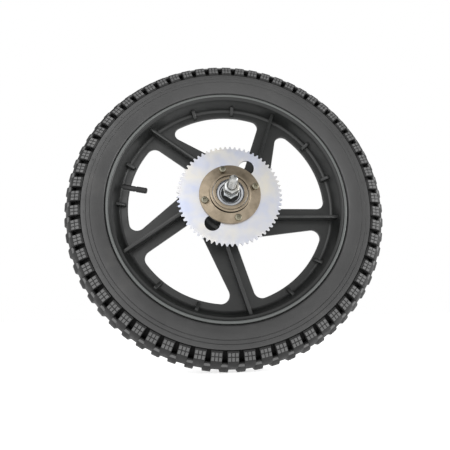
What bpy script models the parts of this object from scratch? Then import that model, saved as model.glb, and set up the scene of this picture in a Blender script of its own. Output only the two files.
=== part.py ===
"""Chain-driven 16 x 2.4 mag wheel: knobby tyre, five-spoke moulded rim, freewheel and sprocket.

Metres, +Z up. The wheel's centre is the origin and the axle runs along Y, with the sprocket
on the -Y side. Bodies: the axle group stands still, the wheel turns on two ball bearings, and
the freewheel's outer body with the sprocket turns on the wheel.
"""
import math

import bmesh
import bpy
from mathutils import Matrix, Vector

# ---------------------------------------------------------------- driving dimensions
GAP = 0.0003                    # clearance between touching pieces

TYRE_RADIUS = 0.213             # 16 x 2.4 tyre on a 305 mm bead seat
TYRE_HALF_WIDTH = 0.0305
BEAD_RADIUS = 0.1525
FLANGE_RADIUS = 0.1585
RIM_HALF_WIDTH = 0.024

SPOKES = 5
SPOKE_TOP = -0.0075             # the spoke's straight upper edge, in the spoke's own frame
SPOKE_LOW_INNER = (0.060, -0.0445)
SPOKE_LOW_OUTER = (0.120, -0.037)
SPOKE_RIB_Z = -0.0225
SPOKE_RIB_THICKNESS = 0.0045
SPOKE_RIB_HEIGHT = 0.016
WEB_HALF = 0.0022
WEB_OUTER_RADIUS = 0.146
WINDOW_OUTER_RADIUS = 0.1348
WINDOW_INNER_RADIUS = 0.053
WINDOW_OUTER_FILLET = 0.011
WINDOW_INNER_FILLET = 0.007
GUSSET_PHASE = 26.0             # first pair's middle, degrees from +X
GUSSET_HALF_ANGLE = 11.3
GUSSET_THICKNESS = 0.0045

BARREL_RADIUS = 0.033
BARREL_HALF = 0.027
SLEEVE_RADIUS = 0.019
NOSE_RADIUS = 0.0173            # freewheel thread
NOSE_END = -0.0415
SHOULDER_RADIUS = 0.011

AXLE_RADIUS = 0.005
AXLE_HALF = 0.088
AXLE_CHAMFER = 0.0018
BEARING_RADIUS = 0.013
BEARING_WIDTH = 0.008
BEARING_FACES = {"drive": -0.0405, "plain": 0.027}
BALL_CIRCLE_RADIUS = 0.0092
BALL_RADIUS = 0.0023
BALLS = 7

SEAT_FACE = 0.0486              # outer face of each lock nut, where the frame clamps
LOCK_NUT_HEIGHT = 0.006
DROPOUT_SLOT = 0.0064
WASHER_THICKNESS = 0.0018
AXLE_NUT_HEIGHT = 0.009
NUT_ACROSS_FLATS = 0.017

SPROCKET_TEETH = 65
CHAIN_PITCH = 0.00635
ROLLER_RADIUS = 0.00165
SPROCKET_FRONT = -0.0361
SPROCKET_BACK = -0.0336
SPROCKET_BORE = 0.0273
SPROCKET_HOLE_RADIUS = 0.0101
SPROCKET_HOLE_CIRCLE = 0.0436
SPROCKET_HOLE_ANGLE = 59.0

DRIVER_FRONT = -0.045
DRIVER_COLLAR_RADIUS = 0.02585
DRIVER_FLANGE_RADIUS = 0.03925
DRIVER_FLANGE_FRONT = -0.040
DRIVER_FLANGE_BACK = -0.0364
DRIVER_BOSS_RADIUS = 0.027
DRIVER_BACK = -0.0288
RATCHET_TEETH = 24
RATCHET_CREST = 0.0227
RATCHET_ROOT = 0.0246
SCREW_CIRCLE = 0.0335
SCREW_PHASE = 16.2
SCREW_RADIUS = 0.0025

PAWL_ANGLES = (90.0, 270.0)
PAWL_PIVOT_RADIUS = 0.0202
PAWL_MIDDLE_Y = -0.037
PAWL_HALF_WIDTH = 0.0029
PAWL_TOOTH_LEAD = 18.6          # degrees from a pawl's pivot to the steep face it meets

VALVE_ANGLE = 170.6
VALVE_RADIUS = 0.004
VALVE_HOLE = 0.0043
VALVE_TIP = 0.113
TUBE_CIRCLE = 0.1805
TUBE_SECTION = 0.0218
TUBE_WALL = 0.0015

FINE = 40                       # steps round the tyre and rim
MEDIUM = 32
SMALL = 16


# ---------------------------------------------------------------- helpers
def clear_scene():
    for obj in list(bpy.data.objects):
        bpy.data.objects.remove(obj, do_unlink=True)


def material(name, colour, roughness, metallic=0.0):
    mat = bpy.data.materials.new(name)
    mat.use_nodes = True
    shader = mat.node_tree.nodes["Principled BSDF"]
    shader.inputs["Base Color"].default_value = (*colour, 1.0)
    shader.inputs["Roughness"].default_value = roughness
    shader.inputs["Metallic"].default_value = metallic
    return mat


def finish(name, bm, mat, sharp_angle=35.0):
    """Turn a bmesh into a named object with its faces pointing out."""
    bmesh.ops.remove_doubles(bm, verts=bm.verts, dist=1e-7)
    bmesh.ops.recalc_face_normals(bm, faces=bm.faces)
    mesh = bpy.data.meshes.new(name)
    bm.to_mesh(mesh)
    bm.free()
    mesh.materials.append(mat)
    mesh.shade_smooth()
    mesh.set_sharp_from_angle(angle=math.radians(sharp_angle))
    obj = bpy.data.objects.new(name, mesh)
    bpy.context.collection.objects.link(obj)
    return obj


def turned(name, profile, mat, steps=SMALL):
    """Spin a closed (radius, y) outline about the Y axis."""
    bm = bmesh.new()
    verts = [bm.verts.new((radius, y, 0.0)) for radius, y in profile]
    edges = [bm.edges.new((a, b)) for a, b in zip(verts, verts[1:] + verts[:1])]
    bmesh.ops.spin(bm, geom=verts + edges, cent=(0, 0, 0), axis=(0, 1, 0),
                   angle=2 * math.pi, steps=steps, use_merge=True)
    bmesh.ops.remove_doubles(bm, verts=bm.verts, dist=1e-7)
    flat = [edge for edge in bm.edges if not edge.link_faces]
    bmesh.ops.delete(bm, geom=flat, context="EDGES")
    return finish(name, bm, mat)


def ring(name, inner, outer, y0, y1, mat, steps=SMALL):
    return turned(name, [(inner, y0), (outer, y0), (outer, y1), (inner, y1)], mat, steps)


def prism(name, outline, y0, y1, mat):
    """Extrude an (x, z) outline along Y."""
    bm = bmesh.new()
    face = bm.faces.new([bm.verts.new((x, y0, z)) for x, z in outline])
    grown = bmesh.ops.extrude_face_region(bm, geom=[face])
    moved = [item for item in grown["geom"] if isinstance(item, bmesh.types.BMVert)]
    bmesh.ops.translate(bm, verts=moved, vec=(0, y1 - y0, 0))
    return finish(name, bm, mat)


def polar(radius, degrees):
    angle = math.radians(degrees)
    return radius * math.cos(angle), radius * math.sin(angle)


def turn(point, degrees):
    angle = math.radians(degrees)
    x, z = point
    return (x * math.cos(angle) - z * math.sin(angle), x * math.sin(angle) + z * math.cos(angle))


def circle(radius, steps, centre=(0.0, 0.0), start=0.0):
    points = [polar(radius, start + 360.0 * i / steps) for i in range(steps)]
    return [(centre[0] + x, centre[1] + z) for x, z in points]


def arc(centre, radius, start, end, steps):
    """Points from angle start to angle end, in degrees."""
    turns = [start + (end - start) * i / steps for i in range(steps + 1)]
    return [(centre[0] + x, centre[1] + z) for x, z in (polar(radius, t) for t in turns)]


def combine(target, tool, operation):
    """Boolean target with tool, keep the result as target's own mesh and remove the tool."""
    modifier = target.modifiers.new(operation.lower(), "BOOLEAN")
    modifier.operation = operation
    modifier.solver = "EXACT"
    modifier.object = tool
    graph = bpy.context.evaluated_depsgraph_get()
    mesh = bpy.data.meshes.new_from_object(target.evaluated_get(graph))
    target.modifiers.clear()
    target.data = mesh
    mesh.shade_smooth()
    mesh.set_sharp_from_angle(angle=math.radians(35.0))
    bpy.data.objects.remove(tool, do_unlink=True)
    return target


def reshaped(obj, axes):
    """Transform the mesh, and keep its faces pointing out when the axes mirror it."""
    obj.data.transform(axes)
    if axes.to_3x3().determinant() < 0:
        obj.data.flip_normals()
    return obj


def join(name, objects):
    """Put several separate tools into one object, so that one Boolean uses them all."""
    bm = bmesh.new()
    for obj in objects:
        obj.data.transform(obj.matrix_basis)
        bm.from_mesh(obj.data)
        bpy.data.objects.remove(obj, do_unlink=True)
    mesh = bpy.data.meshes.new(name)
    bm.to_mesh(mesh)
    bm.free()
    tool = bpy.data.objects.new(name, mesh)
    bpy.context.collection.objects.link(tool)
    return tool


def mirrored(half):
    """Close a half outline, given from y < 0 inwards, with its mirror image."""
    return half + [(radius, -y) for radius, y in reversed(half)]


# ---------------------------------------------------------------- rim
def line_meets_circle(point, direction, radius):
    """The crossing that lies forward along the line."""
    along = Vector(point).dot(direction)
    rest = Vector(point).length_squared - radius * radius
    return Vector(point) + direction * (-along + math.sqrt(along * along - rest))


def window_outline():
    """The opening clockwise of the first spoke, with rounded corners."""
    low = (Vector(SPOKE_LOW_OUTER) - Vector(SPOKE_LOW_INNER)).normalized()
    next_spoke = -360.0 / SPOKES
    above = (Vector(SPOKE_LOW_OUTER), low, Vector((low.y, -low.x)))
    below = (Vector(turn((0.1, SPOKE_TOP), next_spoke)), Vector(polar(1.0, next_spoke)),
             Vector(polar(1.0, next_spoke + 90.0)))
    outline = []
    for near, far, outer in ((above, below, True), (below, above, False)):
        fillet = WINDOW_OUTER_FILLET if outer else WINDOW_INNER_FILLET
        edge = WINDOW_OUTER_RADIUS if outer else WINDOW_INNER_RADIUS
        facing = 0.0 if outer else 180.0
        centres, turns, to_side = [], [], []
        for point, direction, inward in (near, far):
            centre = line_meets_circle(point + inward * fillet, direction,
                                       edge - fillet if outer else edge + fillet)
            centres.append(centre)
            turns.append(math.degrees(math.atan2(centre.y, centre.x)))
            to_side.append(math.degrees(math.atan2(-inward.y, -inward.x)))
        outline += clockwise(centres[0], fillet, to_side[0], turns[0] + facing)
        outline += arc((0, 0), edge, turns[0], turns[1], 8 if outer else 3)[1:-1]
        outline += clockwise(centres[1], fillet, turns[1] + facing, to_side[1])
    return outline


def clockwise(centre, radius, start, end):
    return arc(centre, radius, start, start + (end - start) % 360.0 - 360.0, 5)


def spoke_rib(side, degrees, mat):
    """The upright rib along one spoke, from the barrel to the rim's wall."""
    outline = [(0.020, 0.0), (0.1463, 0.0), (0.1463, WEB_HALF), (0.1495, SPOKE_RIB_HEIGHT),
               (0.040, SPOKE_RIB_HEIGHT), (0.020, SPOKE_RIB_HEIGHT + 0.006)]
    low = SPOKE_RIB_Z - SPOKE_RIB_THICKNESS / 2
    rib = prism("rib", outline, low, low + SPOKE_RIB_THICKNESS, mat)
    return reshaped(rib, rib_axes(side, degrees))


def gusset(side, degrees, mat):
    """A short stiffener between the web and the wall."""
    outline = [(0.1370, 0.0), (0.1463, 0.0), (0.1463, WEB_HALF), (0.1485, 0.011),
               (0.1455, 0.011), (0.1370, 0.0055)]
    block = prism("gusset", outline, -GUSSET_THICKNESS / 2, GUSSET_THICKNESS / 2, mat)
    return reshaped(block, rib_axes(side, degrees))


def rib_axes(side, degrees):
    """Lay an (x, z) outline radially, so that its z becomes a height along side * Y."""
    lay = Matrix(((1, 0, 0, 0), (0, 0, side, 0), (0, 1, 0, 0), (0, 0, 0, 1)))
    return Matrix.Rotation(-math.radians(degrees), 4, "Y") @ lay


def build_rim(mat):
    half = [
        (SLEEVE_RADIUS + GAP, -BARREL_HALF), (BARREL_RADIUS, -BARREL_HALF),
        (BARREL_RADIUS + 0.0015, -0.007), (0.042, -WEB_HALF), (WEB_OUTER_RADIUS, -WEB_HALF),
        (0.1495, -0.016), (0.1503, -0.0205), (0.1538, -0.0215), (0.155, -RIM_HALF_WIDTH),
        (0.1577, -RIM_HALF_WIDTH), (FLANGE_RADIUS, -0.0232), (FLANGE_RADIUS, -0.0208),
        (BEAD_RADIUS, -0.0190), (BEAD_RADIUS, -0.012), (0.1505, -0.009),
    ]
    rim = turned("rim", mirrored(half), mat, FINE)
    outline = window_outline()
    step = 360.0 / SPOKES
    windows = [prism("window", [turn(p, k * step) for p in outline],
                     -0.02, 0.02, mat) for k in range(SPOKES)]
    combine(rim, join("windows", windows), "DIFFERENCE")
    added = []
    for side in (-1, 1):
        for k in range(SPOKES):
            added.append(spoke_rib(side, k * step, mat))
            for offset in (-GUSSET_HALF_ANGLE, GUSSET_HALF_ANGLE):
                added.append(gusset(side, GUSSET_PHASE + offset + k * step, mat))
    for stiffener in added:
        combine(rim, stiffener, "UNION")
    hole = radial("valve_hole", [(0.0, 0.125), (VALVE_HOLE, 0.125), (VALVE_HOLE, 0.157),
                                 (0.0, 0.157)], mat)
    return combine(rim, hole, "DIFFERENCE")


# ---------------------------------------------------------------- tyre, tube and valve
def build_tyre(mat):
    outside = [
        (0.1529, -0.0184), (0.1589, -0.0204), (0.1592, -0.0240), (0.1680, -0.0272),
        (0.1805, -0.0290), (0.1880, -TYRE_HALF_WIDTH), (0.1990, -0.0287), (0.2092, -0.0195),
        (0.2110, -0.0140), (TYRE_RADIUS, -0.0040),
    ]
    inside = [
        (0.2030, 0.0080), (0.1950, 0.0210), (0.1800, 0.0262), (0.1640, 0.0232),
        (0.1529, 0.0130),
    ]
    profile = mirrored(outside) + list(reversed(inside)) + [(r, -y) for r, y in inside]
    return turned("tyre", profile, mat, FINE)


def build_tube(mat):
    """An open-ended hollow ring: the valve's hole lets the air space out."""
    outer = [(TUBE_CIRCLE + x, y) for x, y in circle(TUBE_SECTION, 8)]
    inner = [(TUBE_CIRCLE + x, y) for x, y in circle(TUBE_SECTION - TUBE_WALL, 8)]
    tube = turned("inner_tube", outer, mat, FINE)
    combine(tube, turned("air", inner, mat, FINE), "DIFFERENCE")
    hole = radial("tube_hole", [(0.0, 0.150), (VALVE_HOLE, 0.150), (VALVE_HOLE, 0.1700),
                                (0.0, 0.1700)], mat)
    return combine(tube, hole, "DIFFERENCE")


def radial(name, profile, mat, steps=16):
    """Turn (radius, distance from the wheel's centre) about the valve's own axis."""
    obj = turned(name, profile, mat, steps)
    out_x, out_z = polar(1.0, VALVE_ANGLE)
    outward = Vector((out_x, 0.0, out_z))
    obj.rotation_mode = "QUATERNION"
    obj.rotation_quaternion = Vector((0, 1, 0)).rotation_difference(outward)
    bpy.context.view_layer.update()
    return obj


def build_valve(stem_mat, core_mat, cap_mat):
    bore = 0.0024
    radial("valve_stem", [
        (bore, VALVE_TIP + 0.0015), (0.0033, VALVE_TIP + 0.0015), (0.0033, VALVE_TIP + 0.0150),
        (VALVE_RADIUS, VALVE_TIP + 0.0165), (VALVE_RADIUS, 0.1605), (bore, 0.1605)], stem_mat)
    radial("valve_core", [
        (0.0009, VALVE_TIP + 0.0060), (bore - GAP, VALVE_TIP + 0.0060),
        (bore - GAP, VALVE_TIP + 0.0200), (0.0009, VALVE_TIP + 0.0200)], core_mat, 12)
    radial("valve_pin", [
        (0.0, VALVE_TIP + 0.0020), (0.0006, VALVE_TIP + 0.0020),
        (0.0006, VALVE_TIP + 0.0215), (0.0016, VALVE_TIP + 0.0225),
        (0.0016, VALVE_TIP + 0.0240), (0.0, VALVE_TIP + 0.0240)], core_mat, 12)
    radial("valve_cap", [
        (0.0, VALVE_TIP - 0.0010), (0.0032, VALVE_TIP - 0.0010), (VALVE_RADIUS, VALVE_TIP),
        (VALVE_RADIUS, VALVE_TIP + 0.0130), (0.0036, VALVE_TIP + 0.0130),
        (0.0036, VALVE_TIP + 0.0010), (0.0, VALVE_TIP + 0.0010)], cap_mat)


# ---------------------------------------------------------------- hub, bearings and axle
def build_sleeve(mat):
    seat = BEARING_RADIUS + GAP
    drive_shoulder = BEARING_FACES["drive"] + BEARING_WIDTH + GAP
    plain_shoulder = BEARING_FACES["plain"] - BEARING_WIDTH - GAP
    turned("hub_sleeve", [
        (seat, NOSE_END), (NOSE_RADIUS - 0.0006, NOSE_END), (NOSE_RADIUS, NOSE_END + 0.0006),
        (NOSE_RADIUS, -BARREL_HALF - GAP), (SLEEVE_RADIUS, -BARREL_HALF - GAP),
        (SLEEVE_RADIUS, BARREL_HALF), (seat, BARREL_HALF), (seat, plain_shoulder),
        (SHOULDER_RADIUS, plain_shoulder), (SHOULDER_RADIUS, drive_shoulder),
        (seat, drive_shoulder)], mat, MEDIUM)


def build_bearing(end, steel, brass, rubber):
    """One deep-groove ball bearing: rings, seals, and the balls in their cage."""
    face = BEARING_FACES[end]
    inward = 1 if end == "drive" else -1
    low, high = sorted((face, face + inward * BEARING_WIDTH))
    middle = (low + high) / 2
    ring("bearing_inner_ring_" + end, AXLE_RADIUS + GAP, 0.0068, low, high, steel)
    ring("bearing_outer_ring_" + end, 0.0116, BEARING_RADIUS, low, high, steel, 32)
    for place, y in (("outer", face + inward * 0.0002), ("inner", face + inward * 0.0072)):
        y0, y1 = sorted((y, y + inward * 0.0006))
        ring(f"bearing_seal_{end}_{place}", 0.0070, 0.0113, y0, y1, rubber)
    cage = ring("bearing_balls_" + end, BALL_CIRCLE_RADIUS - 0.0007,
                BALL_CIRCLE_RADIUS + 0.0007, middle - 0.0009, middle + 0.0009, brass, 28)
    for i in range(BALLS):
        x, z = polar(BALL_CIRCLE_RADIUS, 360.0 * i / BALLS)
        half_circle = [(abs(px), pz) for px, pz in arc((0, 0), BALL_RADIUS, -90, 90, 4)]
        ball = turned("ball", half_circle, steel, 8)
        combine(cage, reshaped(ball, Matrix.Translation((x, middle, z))), "UNION")


def hex_nut(name, across, bore, y0, y1, mat):
    corner = across / math.sqrt(3.0)
    nut = prism(name, circle(corner, 6, start=30.0), y0, y1, mat)
    hole = ring_tool(bore, y0 - 0.001, y1 + 0.001, mat)
    return combine(nut, hole, "DIFFERENCE")


def ring_tool(radius, y0, y1, mat, centre=(0.0, 0.0), steps=20):
    return prism("tool", circle(radius, steps, centre), y0, y1, mat)


def build_axle_group(steel, zinc):
    shank_end = AXLE_HALF - AXLE_CHAMFER
    tip_radius = AXLE_RADIUS - 0.75 * AXLE_CHAMFER
    turned("axle", mirrored([
        (0.0, -AXLE_HALF), (tip_radius, -AXLE_HALF), (AXLE_RADIUS, -shank_end)]), zinc)
    bore = AXLE_RADIUS + GAP
    ring("spacer_tube", bore, 0.0075, BEARING_FACES["drive"] + BEARING_WIDTH + GAP,
         BEARING_FACES["plain"] - BEARING_WIDTH - GAP, steel)
    for end, side in (("drive", -1), ("plain", 1)):
        nut_back = SEAT_FACE - LOCK_NUT_HEIGHT
        spacer = sorted((BEARING_FACES[end] + side * GAP, side * (nut_back - GAP)))
        ring("cone_spacer_" + end, bore, 0.0068, *spacer, zinc)
        washer_back = SEAT_FACE + DROPOUT_SLOT
        nut_start = washer_back + WASHER_THICKNESS + GAP
        hex_nut("lock_nut_" + end, NUT_ACROSS_FLATS, bore,
                *sorted((side * nut_back, side * SEAT_FACE)), zinc)
        ring("axle_washer_" + end, bore, 0.010,
             *sorted((side * washer_back, side * (washer_back + WASHER_THICKNESS))), zinc)
        hex_nut("axle_nut_" + end, NUT_ACROSS_FLATS, bore,
                *sorted((side * nut_start, side * (nut_start + AXLE_NUT_HEIGHT))), zinc)


# ---------------------------------------------------------------- freewheel and sprocket
def ratchet_outline():
    """Saw teeth: a steep face, then a ramp back down to the crest."""
    pitch = 360.0 / RATCHET_TEETH
    first = PAWL_ANGLES[0] + PAWL_TOOTH_LEAD
    points = []
    for i in range(RATCHET_TEETH):
        steep = first + i * pitch
        points.append(polar(RATCHET_CREST - 0.0004, steep - pitch + 0.05))
        points.append(polar(RATCHET_ROOT - 0.0009, steep - pitch / 2))
        points.append(polar(RATCHET_ROOT, steep - 0.05))
    return points


def pawl_axes(degrees):
    """Pawl frame: x runs counter-clockwise along the rim of the inner body, z runs outwards."""
    out_x, out_z = polar(1.0, degrees)
    pivot_x, pivot_z = polar(PAWL_PIVOT_RADIUS, degrees)
    return Matrix(((-out_z, 0, out_x, pivot_x), (0, 1, 0, 0), (out_x, 0, out_z, pivot_z),
                   (0, 0, 0, 1)))


def placed(obj, axes):
    """Move the mesh into place, with the object's origin on the axes' own origin."""
    reshaped(obj, axes.to_3x3().to_4x4())
    obj.location = axes.to_translation()
    return obj


def build_pawls(mat, spring_mat):
    heel = arc((0, 0), 0.0013, 90, 270, 6)
    shape = heel + [(0.0070, -0.0006), (0.0072, 0.0008)]
    leaf = [(0.0022, -0.00175), (0.0070, -0.00125), (0.0070, -0.00100), (0.0022, -0.00150)]
    for number, angle in enumerate(PAWL_ANGLES, start=1):
        low = PAWL_MIDDLE_Y - PAWL_HALF_WIDTH
        pawl = prism(f"pawl_{number}", shape, low, low + 2 * PAWL_HALF_WIDTH, mat)
        placed(pawl, pawl_axes(angle))
        spring = prism(f"pawl_spring_{number}", leaf, PAWL_MIDDLE_Y - 0.0015,
                       PAWL_MIDDLE_Y + 0.0015, spring_mat)
        placed(spring, pawl_axes(angle))


def build_freewheel_inner(mat, dark):
    bore = NOSE_RADIUS + GAP
    inner = turned("freewheel_inner_body", [
        (bore, -0.0434), (0.0204, -0.0434), (0.0204, -0.0403), (0.0223, -0.0403),
        (0.0223, -0.0333), (0.0204, -0.0333), (0.0204, -0.0298), (0.0238, -0.0298),
        (0.0238, DRIVER_BACK), (bore, DRIVER_BACK)], mat, MEDIUM)
    pocket = [(-0.0016, 0.004), (-0.0016, -0.0016), (0.0015, -0.0016), (0.0019, -0.0020),
              (0.0076, -0.0020), (0.0076, 0.004)]
    for angle in PAWL_ANGLES:
        tool = prism("pocket", pocket, PAWL_MIDDLE_Y - 0.0032, PAWL_MIDDLE_Y + 0.0032, mat)
        placed(tool, pawl_axes(angle))
        bpy.context.view_layer.update()
        combine(inner, tool, "DIFFERENCE")
    lock_ring = turned("freewheel_lock_ring", [
        (bore, -0.0447), (0.0218, -0.0447), (0.0223, -0.0442), (0.0223, -0.0437),
        (bore, -0.0437)], dark, MEDIUM)
    pins = [ring_tool(0.0010, -0.046, -0.043, mat, polar(0.0201, a), 10) for a in (20.0, 200.0)]
    combine(lock_ring, join("pin_holes", pins), "DIFFERENCE")
    for row, y in (("front", -0.0418), ("back", -0.0316)):
        section = [(0.0223 + x, y + z) for x, z in circle(0.0013, 6)]
        turned("freewheel_balls_" + row, section, mat, 24)


def build_driver(mat):
    cavity = 0.0241
    lip = 0.0226
    driver = turned("freewheel_outer_body", [
        (lip, DRIVER_FRONT), (DRIVER_COLLAR_RADIUS - 0.0006, DRIVER_FRONT),
        (DRIVER_COLLAR_RADIUS, DRIVER_FRONT + 0.0006), (DRIVER_COLLAR_RADIUS, DRIVER_FLANGE_FRONT),
        (DRIVER_FLANGE_RADIUS - 0.0005, DRIVER_FLANGE_FRONT),
        (DRIVER_FLANGE_RADIUS, DRIVER_FLANGE_FRONT + 0.0005),
        (DRIVER_FLANGE_RADIUS, DRIVER_FLANGE_BACK), (DRIVER_BOSS_RADIUS, DRIVER_FLANGE_BACK),
        (DRIVER_BOSS_RADIUS, DRIVER_BACK), (cavity, DRIVER_BACK), (cavity, -0.0333),
        (RATCHET_CREST, -0.0333), (RATCHET_CREST, -0.0405), (cavity, -0.0405),
        (cavity, -0.0442), (lip, -0.0442)], mat, MEDIUM)
    ratchet = prism("ratchet", ratchet_outline(), -0.0402, -0.0336, mat)
    combine(driver, ratchet, "DIFFERENCE")
    holes = [ring_tool(SCREW_RADIUS + GAP, -0.042, -0.034, mat, screw_place(i), 12)
             for i in range(4)]
    return combine(driver, join("screw_holes", holes), "DIFFERENCE")


def screw_place(index):
    return polar(SCREW_CIRCLE, SCREW_PHASE + 90.0 * index)


def sprocket_outline():
    pitch_radius = CHAIN_PITCH / 2 / math.sin(math.pi / SPROCKET_TEETH)
    tip = CHAIN_PITCH / 2 * (0.6 + 1 / math.tan(math.pi / SPROCKET_TEETH))
    root = pitch_radius - ROLLER_RADIUS
    pitch = 360.0 / SPROCKET_TEETH
    shape = ((-0.34, root), (-0.12, tip), (0.12, tip), (0.34, root))
    return [polar(radius, (i + place) * pitch)
            for i in range(SPROCKET_TEETH) for place, radius in shape]


def build_sprocket(mat):
    sprocket = prism("sprocket", sprocket_outline(), SPROCKET_FRONT, SPROCKET_BACK, mat)
    low, high = SPROCKET_FRONT - 0.001, SPROCKET_BACK + 0.001
    tools = [ring_tool(SPROCKET_BORE, low, high, mat, steps=MEDIUM)]
    tools += [ring_tool(SCREW_RADIUS + GAP, low, high, mat, screw_place(i), 12)
              for i in range(4)]
    for turned_by in (0.0, 180.0):
        place = polar(SPROCKET_HOLE_CIRCLE, SPROCKET_HOLE_ANGLE + turned_by)
        tools.append(ring_tool(SPROCKET_HOLE_RADIUS, low, high, mat, place, 24))
    return combine(sprocket, join("sprocket_holes", tools), "DIFFERENCE")


def build_flange_screws(mat):
    """Four socket-head screws through flange and sprocket, with nuts behind."""
    head_back = DRIVER_FLANGE_FRONT - GAP
    for i in range(4):
        x, z = screw_place(i)
        screw = turned(f"flange_screw_{i + 1}", [
            (0.0, head_back - 0.0035), (0.0038, head_back - 0.0035), (0.0042, head_back - 0.0030),
            (0.0042, head_back), (SCREW_RADIUS, head_back), (SCREW_RADIUS, -0.0285),
            (0.0, -0.0285)], mat, 20)
        socket = prism("socket", circle(0.0023, 6), head_back - 0.004, head_back - 0.0013, mat)
        combine(screw, socket, "DIFFERENCE")
        screw.location = (x, 0.0, z)
        nut = hex_nut(f"flange_nut_{i + 1}", 0.008, SCREW_RADIUS + GAP,
                      SPROCKET_BACK + GAP, SPROCKET_BACK + GAP + 0.0045, mat)
        nut.location = (x, 0.0, z)


# ---------------------------------------------------------------- the whole wheel
def main():
    clear_scene()
    plastic = material("moulded_black", (0.035, 0.040, 0.038), 0.45)
    tread = material("tyre_rubber", (0.030, 0.030, 0.031), 0.75)
    butyl = material("tube_rubber", (0.020, 0.020, 0.020), 0.60)
    seal = material("seal_rubber", (0.015, 0.015, 0.016), 0.55)
    zinc = material("bright_zinc", (0.72, 0.74, 0.76), 0.28, 1.0)
    steel = material("bearing_steel", (0.62, 0.63, 0.65), 0.22, 1.0)
    aluminium = material("turned_aluminium", (0.70, 0.71, 0.72), 0.30, 1.0)
    bronze = material("freewheel_steel", (0.42, 0.36, 0.28), 0.38, 1.0)
    brass = material("brass", (0.60, 0.47, 0.22), 0.35, 1.0)

    build_rim(plastic)
    build_tyre(tread)
    build_tube(butyl)
    build_valve(butyl, brass, plastic)
    build_sleeve(aluminium)
    for end in BEARING_FACES:
        build_bearing(end, steel, brass, seal)
    build_axle_group(steel, zinc)
    build_freewheel_inner(steel, bronze)
    build_pawls(steel, steel)
    build_driver(bronze)
    build_sprocket(zinc)
    build_flange_screws(zinc)


main()
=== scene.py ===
# The looks of a chain-driven 16 x 2.4 wheel: knobby tyre, moulded five-spoke rim, zinc sprocket.
# The axle lies along Y with the sprocket on the -Y side. Profiles are (radius, y) points and
# outlines are (x, z) points.
import math

import bmesh
import bpy
from mathutils import Matrix, Vector


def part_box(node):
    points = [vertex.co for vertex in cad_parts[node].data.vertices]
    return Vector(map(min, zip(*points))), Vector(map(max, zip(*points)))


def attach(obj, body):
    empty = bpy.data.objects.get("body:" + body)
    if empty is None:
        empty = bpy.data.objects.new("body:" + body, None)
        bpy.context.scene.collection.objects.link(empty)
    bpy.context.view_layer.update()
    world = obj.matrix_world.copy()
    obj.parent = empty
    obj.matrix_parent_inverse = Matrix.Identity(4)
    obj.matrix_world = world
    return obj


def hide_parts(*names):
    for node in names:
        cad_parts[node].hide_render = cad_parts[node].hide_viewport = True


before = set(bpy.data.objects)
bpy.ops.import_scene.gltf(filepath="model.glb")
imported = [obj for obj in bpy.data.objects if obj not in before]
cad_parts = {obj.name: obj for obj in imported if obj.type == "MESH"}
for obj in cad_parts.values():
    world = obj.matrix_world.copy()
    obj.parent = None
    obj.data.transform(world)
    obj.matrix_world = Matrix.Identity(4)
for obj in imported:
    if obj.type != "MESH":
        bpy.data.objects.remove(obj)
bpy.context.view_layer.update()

# ---------------------------------------------------------------- sizes, in metres and degrees
GAP = 0.0003                     # between pieces that would touch
WELD = 1e-7                      # points closer than this are one point

TYRE_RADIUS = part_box("tyre")[1].z
SIDEWALL_GROOVES = (0.1758, 0.1805)
GROOVE_DEPTH = 0.00055
GROOVE_WIDTH = 0.00028
GROOVE_ZONE = (0.1735, 0.1835)   # where the sidewall's outline is fine enough for the grooves
TREAD_START = 0.1866             # from here outward the carcass is the floor between the blocks, painted near-black as shade
KNOBS = 64                       # tread blocks in each row
KNOB_PITCH = 2 * math.pi * 0.200 / KNOBS
SHOULDER_WIDTH = 0.70 * KNOB_PITCH
SHOULDER_TAPER = 0.10            # share of the width lost at the top
MIDDLE_WIDTH = 0.58 * KNOB_PITCH
MIDDLE_TAPER = 0.12
SHOULDER_PADS_WIDTH = 0.66 * KNOB_PITCH
MIDDLE_PAD_WIDTH = 0.46 * KNOB_PITCH
KNOB_EDGE = 0.0006
PAD_EDGE = 0.0003
PAD_LIFT = 0.0007
PAD_GAP = 0.0010
VENTS = 16                       # moulding nubs left on each sidewall
VENT_CIRCLE = 0.1832
VENT_RADIUS = 0.0005
VENT_PHASE = 0.3                 # share of a vent's step by which the first one is turned

RIM_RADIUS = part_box("rim")[1].x
RIM_LIP_HIGHLIGHT_Y = (0.0229, 0.0236)     # the painted highlight on the rim's outer edge fades in between these
RIM_LIP_HIGHLIGHT_RADIUS = (0.1542, 0.1547)
RIB_EDGE = 0.0008

SPOKES = 5
SPOKE_TOP = -0.0075              # the spoke's straight upper edge, in the spoke's own frame
SPOKE_LOW_INNER = (0.060, -0.0445)
SPOKE_LOW_OUTER = (0.120, -0.037)
SPOKE_RIB_Z = -0.0225
SPOKE_RIB_THICKNESS = 0.0045
SPOKE_RIB_HEIGHT = 0.016
WEB_HALF = 0.0022
WINDOW_OUTER_RADIUS = 0.1348
WINDOW_INNER_RADIUS = 0.053
WINDOW_OUTER_FILLET = 0.011
WINDOW_INNER_FILLET = 0.007
GUSSET_PHASE = 26.0
GUSSET_HALF_ANGLE = 11.3
GUSSET_THICKNESS = 0.0045

SLEEVE_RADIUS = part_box("hub_sleeve")[1].x
BARREL_RADIUS = 0.033
BARREL_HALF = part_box("rim")[1].y
NOSE_RADIUS = 0.0173
NOSE_THREAD_PITCH = 0.00106
NOSE_THREAD_DEPTH = 0.0006
NOSE_THREAD_LINES = 25
BEARING_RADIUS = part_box("bearing_outer_ring_drive")[1].x
OUTER_RACE_BORE = 0.0116
INNER_RACE_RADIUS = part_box("bearing_inner_ring_drive")[1].x
WASHER_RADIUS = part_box("axle_washer_drive")[1].x
WASHER_EDGE = 0.0004

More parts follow.
